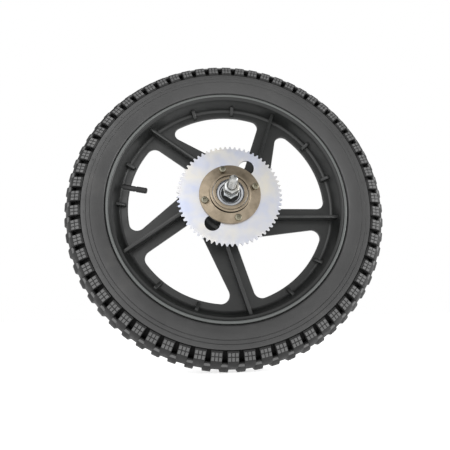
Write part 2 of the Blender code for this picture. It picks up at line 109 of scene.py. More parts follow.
AXLE_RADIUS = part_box("axle")[1].x
AXLE_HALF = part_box("axle")[1].y
AXLE_CHAMFER = 0.0018
THREAD_PITCH = 0.00125
THREAD_DEPTH = 0.00045
THREAD_START = 0.0420
NUT_ACROSS_FLATS = 0.017
NUT_BORE = 0.0053
NUT_CHAMFER_ANGLE = 32.0
NUT_COUNTERSINK = 0.0007

SPROCKET_TEETH = 65
CHAIN_PITCH = 0.00635
ROLLER_RADIUS = 0.00165
SPROCKET_BORE = 0.0273
SPROCKET_HOLE_RADIUS = 0.0101
SPROCKET_HOLE_CIRCLE = 0.0436
SPROCKET_HOLE_ANGLE = 59.0
FREEWHEEL_FLANGE_THICKNESS = 0.0036
LOCK_RING_PIN_CIRCLE = 0.0196
SCREWS = 4
SCREW_RADIUS = 0.0025
SCREW_HOLE_RADIUS = 0.0028
SCREW_HEAD_RADIUS = 0.0042
SCREW_KNURLS = 24
SCREW_NUT_ACROSS_FLATS = 0.008
SOCKET_RADIUS = 0.0023
SOCKET_DEPTH = 0.0022

VALVE_ANGLE = 170.6
VALVE_TIP = 0.113
VALVE_HOLE = 0.0043
VALVE_CAP_RIBS = 20
VALVE_CAP_RIB_DEPTH = 0.00025


# ---------------------------------------------------------------- plane geometry
def polar(radius, degrees):
    """The (x, z) point at this radius and angle round the axle."""
    angle = math.radians(degrees)
    return radius * math.cos(angle), radius * math.sin(angle)


def turn(point, degrees):
    """An (x, z) point turned round the axle."""
    angle = math.radians(degrees)
    x, z = point
    return (x * math.cos(angle) - z * math.sin(angle), x * math.sin(angle) + z * math.cos(angle))


def arc(centre, radius, start, end, steps):
    turns = [start + (end - start) * i / steps for i in range(steps + 1)]
    return [(centre[0] + x, centre[1] + z) for x, z in (polar(radius, t) for t in turns)]


def circle(radius, steps, centre=(0.0, 0.0), start=0.0):
    return arc(centre, radius, start, start + 360.0 * (steps - 1) / steps, steps - 1)


def mirrored(half):
    """A profile's -Y half followed by the same points on the +Y side."""
    return half + [(radius, -y) for radius, y in reversed(half)]


def smooth_line(points, pieces):
    """Points on a Catmull-Rom curve through the given ones, ends kept."""
    padded = [points[0]] + list(points) + [points[-1]]
    line = []
    for a, b, c, d in zip(padded, padded[1:], padded[2:], padded[3:]):
        for i in range(pieces):
            t = i / pieces
            line.append(tuple(
                0.5 * (2 * q + (r - p) * t + (2 * p - 5 * q + 4 * r - s) * t * t
                       + (3 * q - p - 3 * r + s) * t ** 3) for p, q, r, s in zip(a, b, c, d)))
    return line + [points[-1]]


# ---------------------------------------------------------------- meshes
def new_object(name, bm, mat, sharp=35.0, weld=WELD):
    """A smooth-shaded object from the mesh, with edges over `sharp` degrees kept crisp."""
    bmesh.ops.remove_doubles(bm, verts=bm.verts, dist=weld)
    bmesh.ops.recalc_face_normals(bm, faces=bm.faces)
    mesh = bpy.data.meshes.new(name)
    bm.to_mesh(mesh)
    bm.free()
    mesh.materials.append(mat)
    mesh.shade_smooth()
    mesh.set_sharp_from_angle(angle=math.radians(sharp))
    obj = bpy.data.objects.new(name, mesh)
    bpy.context.collection.objects.link(obj)
    return obj


def lathe_faces(bm, profile, steps, radius_at=None):
    """A closed (radius, y) outline turned about Y; radius_at(radius, y, angle) may shape it."""
    rings = []
    for i in range(steps):
        angle = 2 * math.pi * i / steps
        column = []
        for radius, y in profile:
            r = radius_at(radius, y, angle) if radius_at else radius
            column.append(bm.verts.new((r * math.cos(angle), y, r * math.sin(angle))))
        rings.append(column)
    count = len(profile)
    for i in range(steps):
        here, following = rings[i], rings[(i + 1) % steps]
        for j in range(count):
            k = (j + 1) % count
            if profile[j][0] == 0.0 and profile[k][0] == 0.0:
                continue
            bm.faces.new((here[j], here[k], following[k], following[j]))


def turned(name, profile, mat, steps=96, sharp=35.0, radius_at=None):
    bm = bmesh.new()
    lathe_faces(bm, profile, steps, radius_at)
    bmesh.ops.remove_doubles(bm, verts=bm.verts, dist=WELD)
    bmesh.ops.dissolve_degenerate(bm, edges=bm.edges, dist=1e-8)
    return new_object(name, bm, mat, sharp)


def prism_faces(bm, outline, y0, y1):
    face = bm.faces.new([bm.verts.new((x, y0, z)) for x, z in outline])
    grown = bmesh.ops.extrude_face_region(bm, geom=[face])
    moved = [item for item in grown["geom"] if isinstance(item, bmesh.types.BMVert)]
    bmesh.ops.translate(bm, verts=moved, vec=(0, y1 - y0, 0))


def prism(name, outline, y0, y1, mat):
    bm = bmesh.new()
    prism_faces(bm, outline, y0, y1)
    return new_object(name, bm, mat)


def plate(name, outlines, y0, y1, bevel, mat, bevel_steps):
    """A flat plate: the first outline is its edge and the others are holes, edges rounded."""
    curve = bpy.data.curves.new(name, "CURVE")
    curve.dimensions = "2D"
    curve.fill_mode = "BOTH"
    for outline in outlines:
        spline = curve.splines.new("POLY")
        spline.points.add(len(outline) - 1)
        for point, (x, z) in zip(spline.points, outline):
            point.co = (x, z, 0.0, 1.0)
        spline.use_cyclic_u = True
    curve.extrude = (y1 - y0) / 2 - bevel
    curve.bevel_depth = bevel
    curve.bevel_resolution = bevel_steps
    curve.offset = -bevel
    source = bpy.data.objects.new(name, curve)
    bpy.context.collection.objects.link(source)
    graph = bpy.context.evaluated_depsgraph_get()
    mesh = bpy.data.meshes.new_from_object(source.evaluated_get(graph))
    bpy.data.objects.remove(source, do_unlink=True)
    upright = Matrix(((1, 0, 0, 0), (0, 0, -1, (y0 + y1) / 2), (0, 1, 0, 0), (0, 0, 0, 1)))
    mesh.transform(upright)
    bm = bmesh.new()
    bm.from_mesh(mesh)
    bpy.data.meshes.remove(mesh)
    return flat_faced(new_object(name, bm, mat, 40.0, 1e-6))


def flat_faced(obj):
    """Keep the big flat faces of a plate out of the smoothing of its rounded edges."""
    bm = bmesh.new()
    bm.from_mesh(obj.data)
    for edge in bm.edges:
        flat = {abs(face.normal.y) > 0.9999 for face in edge.link_faces}
        if len(flat) == 2:
            edge.smooth = False
    bm.to_mesh(obj.data)
    bm.free()
    return obj


def bevelled(obj, width, segments=2):
    modifier = obj.modifiers.new("edges", "BEVEL")
    modifier.width = width
    modifier.segments = segments
    modifier.limit_method = "ANGLE"
    modifier.angle_limit = math.radians(30.0)
    return applied(obj)


def applied(obj):
    """The object with its modifiers made part of its mesh."""
    graph = bpy.context.evaluated_depsgraph_get()
    mesh = bpy.data.meshes.new_from_object(obj.evaluated_get(graph))
    obj.modifiers.clear()
    obj.data = mesh
    mesh.shade_smooth()
    mesh.set_sharp_from_angle(angle=math.radians(40.0))
    return obj


def combine(target, tool, operation):
    """The target cut by or cut down to the tool, which is used up."""
    modifier = target.modifiers.new(operation.lower(), "BOOLEAN")
    modifier.operation = operation
    modifier.solver = "EXACT"
    modifier.object = tool
    applied(target)
    bpy.data.objects.remove(tool, do_unlink=True)
    return target


def merged(name, objects):
    """One object from several, each kept as its own shell."""
    bm = bmesh.new()
    mat = objects[0].data.materials[0]
    for obj in objects:
        bm.from_mesh(obj.data)
        bpy.data.objects.remove(obj, do_unlink=True)
    mesh = bpy.data.meshes.new(name)
    bm.to_mesh(mesh)
    bm.free()
    mesh.materials.append(mat)
    obj = bpy.data.objects.new(name, mesh)
    bpy.context.collection.objects.link(obj)
    return obj


def stand_for(obj, body, *nodes):
    """The object rides on a CAD body and is shown in place of these CAD nodes."""
    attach(obj, body)
    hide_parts(*nodes)
    return obj


# ---------------------------------------------------------------- materials
def node_material(name):
    mat = bpy.data.materials.new(name)
    mat.use_nodes = True
    tree = mat.node_tree
    return mat, tree, tree.nodes["Principled BSDF"]


def noise(tree, scale, detail=4.0, roughness=0.55):
    place = tree.nodes.new("ShaderNodeTexCoord")
    texture = tree.nodes.new("ShaderNodeTexNoise")
    texture.inputs["Scale"].default_value = scale
    texture.inputs["Detail"].default_value = detail
    texture.inputs["Roughness"].default_value = roughness
    tree.links.new(place.outputs["Object"], texture.inputs["Vector"])
    return texture.outputs["Fac"]


def distance_from_axle(tree):
    place = tree.nodes.new("ShaderNodeTexCoord")
    flat = tree.nodes.new("ShaderNodeVectorMath")
    flat.operation = "MULTIPLY"
    flat.inputs[1].default_value = (1.0, 0.0, 1.0)
    length = tree.nodes.new("ShaderNodeVectorMath")
    length.operation = "LENGTH"
    tree.links.new(place.outputs["Object"], flat.inputs[0])
    tree.links.new(flat.outputs["Vector"], length.inputs[0])
    return length.outputs["Value"]


def radial_noise(tree, scale):
    """Noise that changes only with the distance from the axle: turning marks."""
    texture = tree.nodes.new("ShaderNodeTexNoise")
    texture.noise_dimensions = "1D"
    texture.inputs["Scale"].default_value = scale
    texture.inputs["Detail"].default_value = 3.0
    tree.links.new(distance_from_axle(tree), texture.inputs["W"])
    return texture.outputs["Fac"]


def ramp(tree, factor, stops):
    node = tree.nodes.new("ShaderNodeValToRGB")
    node.color_ramp.elements.remove(node.color_ramp.elements[0])
    node.color_ramp.elements[0].position = stops[0][0]
    node.color_ramp.elements[0].color = (*stops[0][1], 1.0)
    for position, colour in stops[1:]:
        element = node.color_ramp.elements.new(position)
        element.color = (*colour, 1.0)
    tree.links.new(factor, node.inputs["Fac"])
    return node.outputs["Color"]


def spread(tree, factor, low, high):
    """Noise stretched to run from low to high."""
    node = tree.nodes.new("ShaderNodeMapRange")
    node.inputs["From Min"].default_value = 0.3
    node.inputs["From Max"].default_value = 0.7
    node.inputs["To Min"].default_value = low
    node.inputs["To Max"].default_value = high
    tree.links.new(factor, node.inputs["Value"])
    return node.outputs["Result"]


def bump(tree, shader, height, distance, strength=1.0, under=None):
    node = tree.nodes.new("ShaderNodeBump")
    node.inputs["Distance"].default_value = distance
    node.inputs["Strength"].default_value = strength
    tree.links.new(height, node.inputs["Height"])
    if under:
        tree.links.new(under, node.inputs["Normal"])
    tree.links.new(node.outputs["Normal"], shader.inputs["Normal"])
    return node.outputs["Normal"]


def shade(value, tint=(1.0, 1.0, 1.0)):
    """A grey of this value, tinted."""
    return tuple(value * channel for channel in tint)


def moulded_plastic(name, value, tint, rough_low, rough_high, lip_highlight=None):
    """Dark plastic with faint patches and a fine grain; if a grey is given, the rim's outer edge
    gets a painted highlight of that grey.
    """
    mat, tree, shader = node_material(name)
    patches = noise(tree, 22.0, 5.0)
    colour = ramp(tree, patches, [(0.25, shade(value * 0.82, tint)), (0.55, shade(value, tint)),
                                  (0.80, shade(value * 1.35, tint))])
    # painted highlight: the rim's outer edge is mixed towards a lighter grey
    if lip_highlight:
        mix = tree.nodes.new("ShaderNodeMix")
        mix.data_type = "RGBA"
        tree.links.new(lip_highlight_mask(tree), mix.inputs["Factor"])
        tree.links.new(colour, mix.inputs["A"])
        mix.inputs["B"].default_value = (*shade(lip_highlight, tint), 1.0)
        colour = mix.outputs["Result"]
    tree.links.new(colour, shader.inputs["Base Color"])
    tree.links.new(spread(tree, noise(tree, 60.0, 6.0), rough_low, rough_high),
                   shader.inputs["Roughness"])
    coarse = bump(tree, shader, noise(tree, 35.0, 2.0), 0.00025, 0.6)
    bump(tree, shader, noise(tree, 1800.0, 3.0), 0.00004, 0.6, coarse)
    return mat


def lip_highlight_mask(tree):
    """Mask of the painted highlight: one on the rim's outer edge and nothing elsewhere."""
    place = tree.nodes.new("ShaderNodeTexCoord")
    split = tree.nodes.new("ShaderNodeSeparateXYZ")
    outward = tree.nodes.new("ShaderNodeMath")
    outward.operation = "ABSOLUTE"
    tree.links.new(place.outputs["Object"], split.inputs["Vector"])
    tree.links.new(split.outputs["Y"], outward.inputs[0])
    both = tree.nodes.new("ShaderNodeMath")
    both.operation = "MULTIPLY"
    for i, (value, (low, high)) in enumerate((
            (outward.outputs[0], RIM_LIP_HIGHLIGHT_Y),
            (distance_from_axle(tree), RIM_LIP_HIGHLIGHT_RADIUS))):
        step = tree.nodes.new("ShaderNodeMapRange")
        step.inputs["From Min"].default_value = low
        step.inputs["From Max"].default_value = high
        tree.links.new(value, step.inputs["Value"])
        tree.links.new(step.outputs["Result"], both.inputs[i])
    return both.outputs[0]


def tyre_rubber(name, value, rough_low, rough_high, dust, gloss=0.5):
    """Rubber with patches that are lighter by `dust`, and a fine grain."""
    mat, tree, shader = node_material(name)
    shader.inputs["Specular IOR Level"].default_value = gloss
    patches = noise(tree, 14.0, 6.0, 0.65)
    colour = ramp(tree, patches, [(0.30, shade(value * 0.8)), (0.58, shade(value)),
                                  (0.82, shade(value + dust, (1.0, 0.98, 0.94)))])
    tree.links.new(colour, shader.inputs["Base Color"])
    tree.links.new(spread(tree, noise(tree, 90.0, 5.0), rough_low, rough_high),
                   shader.inputs["Roughness"])
    coarse = bump(tree, shader, noise(tree, 240.0, 4.0), 0.00012, 0.7)
    bump(tree, shader, noise(tree, 1500.0, 3.0), 0.00005, 0.8, coarse)
    return mat


def plated_steel(name, cool, warm, rough_low, rough_high):
    """Plated metal that drifts between a cool and a warm cast."""
    mat, tree, shader = node_material(name)
    shader.inputs["Metallic"].default_value = 1.0
    between = tuple((a + b) / 2 for a, b in zip(cool, warm))
    colour = ramp(tree, noise(tree, 30.0, 3.0), [(0.32, cool), (0.50, between), (0.68, warm)])
    tree.links.new(colour, shader.inputs["Base Color"])
    tree.links.new(spread(tree, noise(tree, 120.0, 6.0, 0.7), rough_low, rough_high),
                   shader.inputs["Roughness"])
    bump(tree, shader, noise(tree, 900.0, 5.0), 0.00003, 0.5)
    return mat


def turned_steel(name, dark, light, rough_low, rough_high):
    """Machined metal: stains, and turning marks round the axle."""
    mat, tree, shader = node_material(name)
    shader.inputs["Metallic"].default_value = 1.0
    stain = noise(tree, 55.0, 5.0, 0.65)
    colour = ramp(tree, stain, [(0.30, dark), (0.70, light)])
    tree.links.new(colour, shader.inputs["Base Color"])
    tree.links.new(spread(tree, radial_noise(tree, 1400.0), rough_low, rough_high),
                   shader.inputs["Roughness"])
    bump(tree, shader, radial_noise(tree, 2200.0), 0.00004, 0.7)
    return mat


# The rim's outer edge gets a painted highlight, a band of lighter grey.
rim_plastic = moulded_plastic("rim_plastic", 0.015, (0.94, 1.0, 0.97), 0.28, 0.44, lip_highlight=0.11)
cap_plastic = moulded_plastic("cap_plastic", 0.012, (1.0, 1.0, 1.0), 0.45, 0.60)
tread_rubber = tyre_rubber("tread_rubber", 0.014, 0.42, 0.70, 0.050, 0.35)
# Near-black, dull rubber for the floor between the tread blocks: painted shade in the gaps.
groove_shade_rubber = tyre_rubber("groove_shade_rubber", 0.005, 0.60, 0.80, 0.004, 0.10)
# Light rubber on the tread's pads: partly wear and dust, partly a painted highlight where the pads
# catch the light.
worn_and_highlit_rubber = tyre_rubber("worn_and_highlit_rubber", 0.110, 0.36, 0.60, 0.160)
sidewall_rubber = tyre_rubber("sidewall_rubber", 0.046, 0.30, 0.48, 0.028)
smooth_rubber = tyre_rubber("smooth_rubber", 0.020, 0.45, 0.60, 0.006)
seal_rubber = tyre_rubber("seal_rubber", 0.006, 0.38, 0.50, 0.003)
zinc_plate = plated_steel("zinc_plate", (0.60, 0.64, 0.78), (0.76, 0.73, 0.66), 0.28, 0.44)
zinc_steel = plated_steel("zinc_steel", (0.36, 0.38, 0.40), (0.50, 0.47, 0.40), 0.18, 0.30)
screw_steel = plated_steel("screw_steel", (0.20, 0.20, 0.17), (0.30, 0.27, 0.19), 0.26, 0.40)
bronze_steel = turned_steel("bronze_steel", (0.19, 0.155, 0.11), (0.36, 0.30, 0.225), 0.34, 0.50)
# Near-black steel for the freewheel collar's side and bore: painted shade.
shade_dark_steel = turned_steel("shade_dark_steel", (0.012, 0.010, 0.008), (0.03, 0.025, 0.02), 0.35, 0.50)
ground_steel = turned_steel("ground_steel", (0.50, 0.51, 0.53), (0.68, 0.69, 0.71), 0.16, 0.28)
hub_metal = turned_steel("hub_metal", (0.50, 0.51, 0.53), (0.68, 0.69, 0.71), 0.22, 0.36)
brass = turned_steel("brass", (0.48, 0.34, 0.13), (0.66, 0.50, 0.24), 0.25, 0.40)


# ---------------------------------------------------------------- tyre
def tyre_carcass():
    """The tyre without its blocks: bead, grooved sidewall, and a step down to the tread's floor."""
    side = [(0.1597, -0.0228), (0.1606, -0.0242), (0.1630, -0.0253), (0.1680, -0.0270),
            (0.1725, -0.0281), (0.1780, -0.0289), (0.1830, -0.0294), (0.1864, -0.0294)]
    tread = [(0.1872, -0.0284), (0.1878, -0.0268), (0.1920, -0.0245), (0.1980, -0.0198),
             (0.2035, -0.0130), (0.2064, -0.0060), (0.2070, 0.0)]
    sidewall = []
    curve = smooth_line(side, 6)
    for (r0, y0), (r1, y1) in zip(curve, curve[1:]):
        pieces = 6 if GROOVE_ZONE[0] < r0 < GROOVE_ZONE[1] else 1
        for i in range(pieces):
            radius = r0 + (r1 - r0) * i / pieces
            sidewall.append((radius, y0 + (y1 - y0) * i / pieces + groove_depth(radius)))
    bead = [(0.1529, -0.0184), (0.1560, -0.0196), (0.1588, -0.0200), (0.1595, -0.0206)]
    half = bead + sidewall + [side[-1]] + smooth_line(tread, 3)
    inside = [(0.2000, 0.0), (0.1985, 0.0100), (0.1920, 0.0200), (0.1800, 0.0250),
              (0.1640, 0.0222), (0.1529, 0.0130)]
    return mirrored(half)[:-1] + inside[::-1] + [(r, -y) for r, y in inside[1:]]


def groove_depth(radius):
    return GROOVE_DEPTH * sum(math.exp(-((radius - at) / GROOVE_WIDTH) ** 2)
                              for at in SIDEWALL_GROOVES)


def block(bm, angle, section, width, taper):
    """One tread block: an (r, y) section run across `width` of the tread, narrower on top."""
    spin = Matrix.Rotation(math.radians(90.0 - angle), 3, "Y")
    base = min(radius for radius, _ in section)
    top = max(radius for radius, _ in section)
    sides = []
    for side in (-1, 1):
        column = []
        for radius, y in section:
            lift = (radius - base) / (top - base)
            half = side * width / 2 * (1 - taper * lift)
            column.append(bm.verts.new(spin @ Vector((half, y, radius))))
        sides.append(column)
    bm.faces.new(sides[0])
    bm.faces.new(list(reversed(sides[1])))
    count = len(section)
    for j in range(count):
        k = (j + 1) % count
        bm.faces.new((sides[0][j], sides[1][j], sides[1][k], sides[0][k]))


def flipped(section):
    return [(radius, -y) for radius, y in reversed(section)]


def pads(bm, angle, start, end, out, width, across, along):
    """Small raised pads on a block's face, between (r, y) start and end, facing `out`."""
    spin = Matrix.Rotation(math.radians(90.0 - angle), 3, "Y")
    start, end, out = Vector(start), Vector(end), Vector(out)
    cell_w = width / across
    for i in range(across):
        for j in range(along):
            t0, t1 = j / along, (j + 1) / along
            low = start.lerp(end, t0)
            high = start.lerp(end, t1)
            run = (high - low).normalized() * PAD_GAP / 2
            x0 = -width / 2 + i * cell_w + PAD_GAP / 2
            x1 = x0 + cell_w - PAD_GAP
            corners = [(x0, low + run), (x1, low + run), (x1, high - run), (x0, high - run)]
            rings = []
            for rise in (-PAD_LIFT, PAD_LIFT):
                ring = []
                for x, point in corners:
                    radius, y = point + out * rise
                    ring.append(bm.verts.new(spin @ Vector((x, y, radius))))
                rings.append(ring)
            bottom, top = rings
            bm.faces.new(top)
            bm.faces.new(list(reversed(bottom)))
            for a in range(4):
                b = (a + 1) % 4
                bm.faces.new((bottom[a], bottom[b], top[b], top[a]))


def build_tyre():
    carcass = turned("tyre_carcass", tyre_carcass(), sidewall_rubber, 384, 50.0)
    # The tread's floor between the blocks gets the near-black rubber, painted shade.
    carcass.data.materials.append(groove_shade_rubber)
    for face in carcass.data.polygons:
        if math.hypot(face.center.x, face.center.z) > TREAD_START:
            face.material_index = 1
    stand_for(carcass, "wheel", "tyre")
    vents = bmesh.new()
    for i in range(VENTS):
        for side in (-1, 1):
            place = polar(VENT_CIRCLE, (i + VENT_PHASE) * 360.0 / VENTS)
            prism_faces(vents, circle(VENT_RADIUS, 8, place), side * 0.0288, side * 0.0302)
    stand_for(new_object("vent_nubs", vents, sidewall_rubber), "wheel", "tyre")
    build_tread()


def build_tread():
    """Shoulder blocks, and taller middle blocks half a pitch on, with pads on their sides."""
    shoulder = [(0.1868, -0.0285), (0.1878, -0.0299), (0.1925, -0.0299), (0.1992, -0.0284),
                (0.2032, -0.0252), (0.2064, -0.0205), (0.2092, -0.0150), (0.2090, -0.0118),
                (0.2010, -0.0112), (0.1960, -0.0215)]
    middle = [(0.1995, -0.0200), (0.2010, -0.0236), (0.2062, -0.0200), (0.2104, -0.0158),
              (0.2126, -0.0110), (0.2130, -0.0015), (0.2045, -0.0015), (0.2030, -0.0140)]
    pitch = 360.0 / KNOBS
    shoulders, middles, cells = bmesh.new(), bmesh.new(), bmesh.new()
    for i in range(KNOBS):
        here = i * pitch
        halfway = here + pitch / 2
        for section in (shoulder, flipped(shoulder)):
            block(shoulders, here, section, SHOULDER_WIDTH, SHOULDER_TAPER)
        for section in (middle, flipped(middle)):
            block(middles, halfway, section, MIDDLE_WIDTH, MIDDLE_TAPER)
        for side in (-1, 1):
            pads(cells, here, (0.1890, side * 0.0299), (0.1992, side * 0.0284),
                 (0.10, side * 0.99), SHOULDER_PADS_WIDTH, 3, 2)
            pads(cells, halfway, (0.2018, side * 0.0230), (0.2058, side * 0.0203),
                 (0.57, side * 0.82), MIDDLE_PAD_WIDTH, 1, 1)
    # The pads take the lighter rubber: partly wear, partly a painted highlight.
    for name, bm, mat, edge, segments in (
            ("tread_blocks", shoulders, tread_rubber, KNOB_EDGE, 2),
            ("tread_middles", middles, tread_rubber, KNOB_EDGE, 2),
            ("tread_pads", cells, worn_and_highlit_rubber, PAD_EDGE, 1)):
        stand_for(bevelled(new_object(name, bm, mat), edge, segments), "wheel", "tyre")


# ---------------------------------------------------------------- rim
def line_meets_circle(point, direction, radius):
    """Where a line leaves a circle round the axle."""
    along = Vector(point).dot(direction)
    rest = Vector(point).length_squared - radius * radius
    return Vector(point) + direction * (-along + math.sqrt(along * along - rest))


def window_outline():
    """The opening clockwise of the first spoke, with rounded corners."""
    low = (Vector(SPOKE_LOW_OUTER) - Vector(SPOKE_LOW_INNER)).normalized()
    next_spoke = -360.0 / SPOKES
    above = (Vector(SPOKE_LOW_OUTER), low, Vector((low.y, -low.x)))
    below = (Vector(turn((0.1, SPOKE_TOP), next_spoke)), Vector(polar(1.0, next_spoke)),
             Vector(polar(1.0, next_spoke + 90.0)))
    outline = []
    for near, far, outer in ((above, below, True), (below, above, False)):
        fillet = WINDOW_OUTER_FILLET if outer else WINDOW_INNER_FILLET
        edge = WINDOW_OUTER_RADIUS if outer else WINDOW_INNER_RADIUS
        facing = 0.0 if outer else 180.0
        centres, turns, to_side = [], [], []
        for point, direction, inward in (near, far):
            centre = line_meets_circle(point + inward * fillet, direction,
                                       edge - fillet if outer else edge + fillet)
            centres.append(centre)
            turns.append(math.degrees(math.atan2(centre.y, centre.x)))
            to_side.append(math.degrees(math.atan2(-inward.y, -inward.x)))
        outline += clockwise(centres[0], fillet, to_side[0], turns[0] + facing)
        outline += arc((0, 0), edge, turns[0], turns[1], 40 if outer else 12)[1:-1]
        outline += clockwise(centres[1], fillet, turns[1] + facing, to_side[1])
    return outline


def clockwise(centre, radius, start, end):
    return arc(centre, radius, start, start + (end - start) % 360.0 - 360.0, 12)


def rib_axes(side, degrees):
    """Stands a rib drawn flat on its spoke, on one side of the web."""
    lay = Matrix(((1, 0, 0, 0), (0, 0, side, 0), (0, 1, 0, 0), (0, 0, 0, 1)))
    return Matrix.Rotation(-math.radians(degrees), 4, "Y") @ lay


def rib(outline, low, thickness, side, degrees):
    bm = bmesh.new()
    prism_faces(bm, outline, low, low + thickness)
    bm.transform(rib_axes(side, degrees))
    return bevelled(new_object("rib", bm, rim_plastic), RIB_EDGE)


def build_rim():
    half = [
        (0.1415, -0.0018), (0.1436, -0.0025), (0.1452, -0.0036), (0.1462, -0.0052),
        (0.1468, -0.0072),
        (0.1495, -0.0160), (0.1503, -0.0200), (0.1508, -0.0210), (0.1528, -0.0214),
        (0.1538, -0.0218), (0.1544, -0.0228), (0.1550, -0.0237), (0.1560, -0.0240),
        (0.1572, -0.0239), (0.1581, -0.0234), (RIM_RADIUS, -0.0225),
        (RIM_RADIUS, -0.0208), (0.1527, -0.0191), (0.1525, -0.0180), (0.1525, -0.0120),
        (0.1505, -0.0090),
    ]
    wall = turned("wall", mirrored(half), rim_plastic, 320, 42.0)
    barrel_half = [
        (SLEEVE_RADIUS + GAP, -BARREL_HALF), (BARREL_RADIUS - 0.001, -BARREL_HALF),
        (BARREL_RADIUS, -BARREL_HALF + 0.001), (BARREL_RADIUS + 0.0015, -0.0070),
        (BARREL_RADIUS + 0.0030, -0.0038), (0.0400, -WEB_HALF), (0.0430, -WEB_HALF + 0.0002),
    ]
    barrel = turned("barrel", mirrored(barrel_half), rim_plastic, 128, 42.0)
    step = 360.0 / SPOKES
    outline = window_outline()
    holes = [[turn(p, k * step) for p in outline] for k in range(SPOKES)]
    web = plate("web", [circle(0.1475, 240), circle(0.0345, 96)] + holes,
                -WEB_HALF, WEB_HALF, 0.0009, rim_plastic, 3)
    combine(wall, valve_passage(), "DIFFERENCE")
    flat_faced(combine(web, valve_passage(), "DIFFERENCE"))
    parts = [wall, barrel, web]
    spoke_rib = [(0.030, 0.0), (0.1467, 0.0), (0.1467, WEB_HALF), (0.1499, SPOKE_RIB_HEIGHT),
                 (0.040, SPOKE_RIB_HEIGHT), (0.0290, SPOKE_RIB_HEIGHT + 0.006)]
    gusset = [(0.1370, 0.0), (0.1467, 0.0), (0.1467, WEB_HALF), (0.1490, 0.011),
              (0.1455, 0.011), (0.1370, 0.0055)]
    for side in (-1, 1):
        for k in range(SPOKES):
            parts.append(rib(spoke_rib, SPOKE_RIB_Z - SPOKE_RIB_THICKNESS / 2,
                             SPOKE_RIB_THICKNESS, side, k * step))
            for offset in (-GUSSET_HALF_ANGLE, GUSSET_HALF_ANGLE):
                parts.append(rib(gusset, -GUSSET_THICKNESS / 2, GUSSET_THICKNESS, side,
                                 GUSSET_PHASE + offset + k * step))
    return stand_for(merged("rim_moulding", parts), "wheel", "rim")


def valve_passage():
    """The round way for the valve through the web's edge and the rim's wall."""
    hole = turned("valve_passage", [(0.0, 0.125), (VALVE_HOLE, 0.125), (VALVE_HOLE, 0.157),
                                    (0.0, 0.157)], rim_plastic, 32)
    hole.data.transform(radial_axes())
    return hole


# ---------------------------------------------------------------- valve
def radial_axes():
    """Turns the Y axis to point out along the valve."""
    out_x, out_z = polar(1.0, VALVE_ANGLE)
    return Vector((0, 1, 0)).rotation_difference(Vector((out_x, 0.0, out_z))).to_matrix().to_4x4()


def build_valve():
    stem = turned("valve_stem_rubber", [
        (0.0025, VALVE_TIP + 0.0015), (0.0033, VALVE_TIP + 0.0015), (0.0033, VALVE_TIP + 0.0150),
        (0.0038, VALVE_TIP + 0.0152), (0.0039, VALVE_TIP + 0.0250), (0.0040, 0.1450),
        (0.0040, 0.1605), (0.0025, 0.1605)], smooth_rubber, 48)

    def ribbed(radius, y, angle):
        grips = radius > 0.0037 and y > VALVE_TIP + 0.0015
        raised = math.cos(angle * VALVE_CAP_RIBS) > 0
        return radius - VALVE_CAP_RIB_DEPTH if grips and raised else radius

    cap = turned("valve_cap_ribbed", [
        (0.0, VALVE_TIP - 0.0010), (0.0030, VALVE_TIP - 0.0010), (0.0037, VALVE_TIP - 0.0004),
        (0.0040, VALVE_TIP + 0.0006), (0.0040, VALVE_TIP + 0.0018), (0.0040, VALVE_TIP + 0.0115),
        (0.0040, VALVE_TIP + 0.0130), (0.0036, VALVE_TIP + 0.0130),
        (0.0036, VALVE_TIP + 0.0010), (0.0, VALVE_TIP + 0.0010)], cap_plastic, 80, 50.0, ribbed)
    for obj in (stem, cap):
        obj.data.transform(radial_axes())
    stand_for(stem, "wheel", "valve_stem")
    stand_for(cap, "valve_cap", "valve_cap")


# ---------------------------------------------------------------- hub, bearings and axle
def span(node):
    """A CAD node's lowest and highest y."""
    low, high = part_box(node)
    return low.y, high.y


def washer(name, node, body, inner, outer, mat):
    """A ring as wide as its CAD node, with rounded edges."""
    y0, y1 = span(node)
    edge = min(WASHER_EDGE, (y1 - y0) / 3)
    profile = [(inner, y0 + edge / 2), (inner + edge / 2, y0), (outer - edge, y0),
               (outer, y0 + edge), (outer, y1 - edge), (outer - edge, y1),
               (inner + edge / 2, y1), (inner, y1 - edge / 2)]
    return stand_for(turned(name, profile, mat), body, node)


def build_sleeve():
    """The hub's metal sleeve, with ring grooves like a thread on the nose."""
    seat = BEARING_RADIUS + GAP
    low, high = span("hub_sleeve")
    inner_low, inner_high = span("spacer_tube")
    thread = [(NOSE_RADIUS - NOSE_THREAD_DEPTH * (i % 2), low + 0.0010 + NOSE_THREAD_PITCH / 2 * i)
              for i in range(NOSE_THREAD_LINES)]
    sleeve = turned("hub_sleeve_turned", [
        (seat, low + 0.0008), (seat + 0.0008, low), (NOSE_RADIUS - 0.0010, low)] + thread + [
        (SLEEVE_RADIUS, -BARREL_HALF - GAP), (SLEEVE_RADIUS, high - 0.0006),
        (SLEEVE_RADIUS - 0.0006, high), (seat + 0.0006, high), (seat, high - 0.0006),
        (seat, inner_high), (0.011, inner_high), (0.011, inner_low), (seat, inner_low)],
        hub_metal, 128)
    stand_for(sleeve, "wheel", "hub_sleeve")


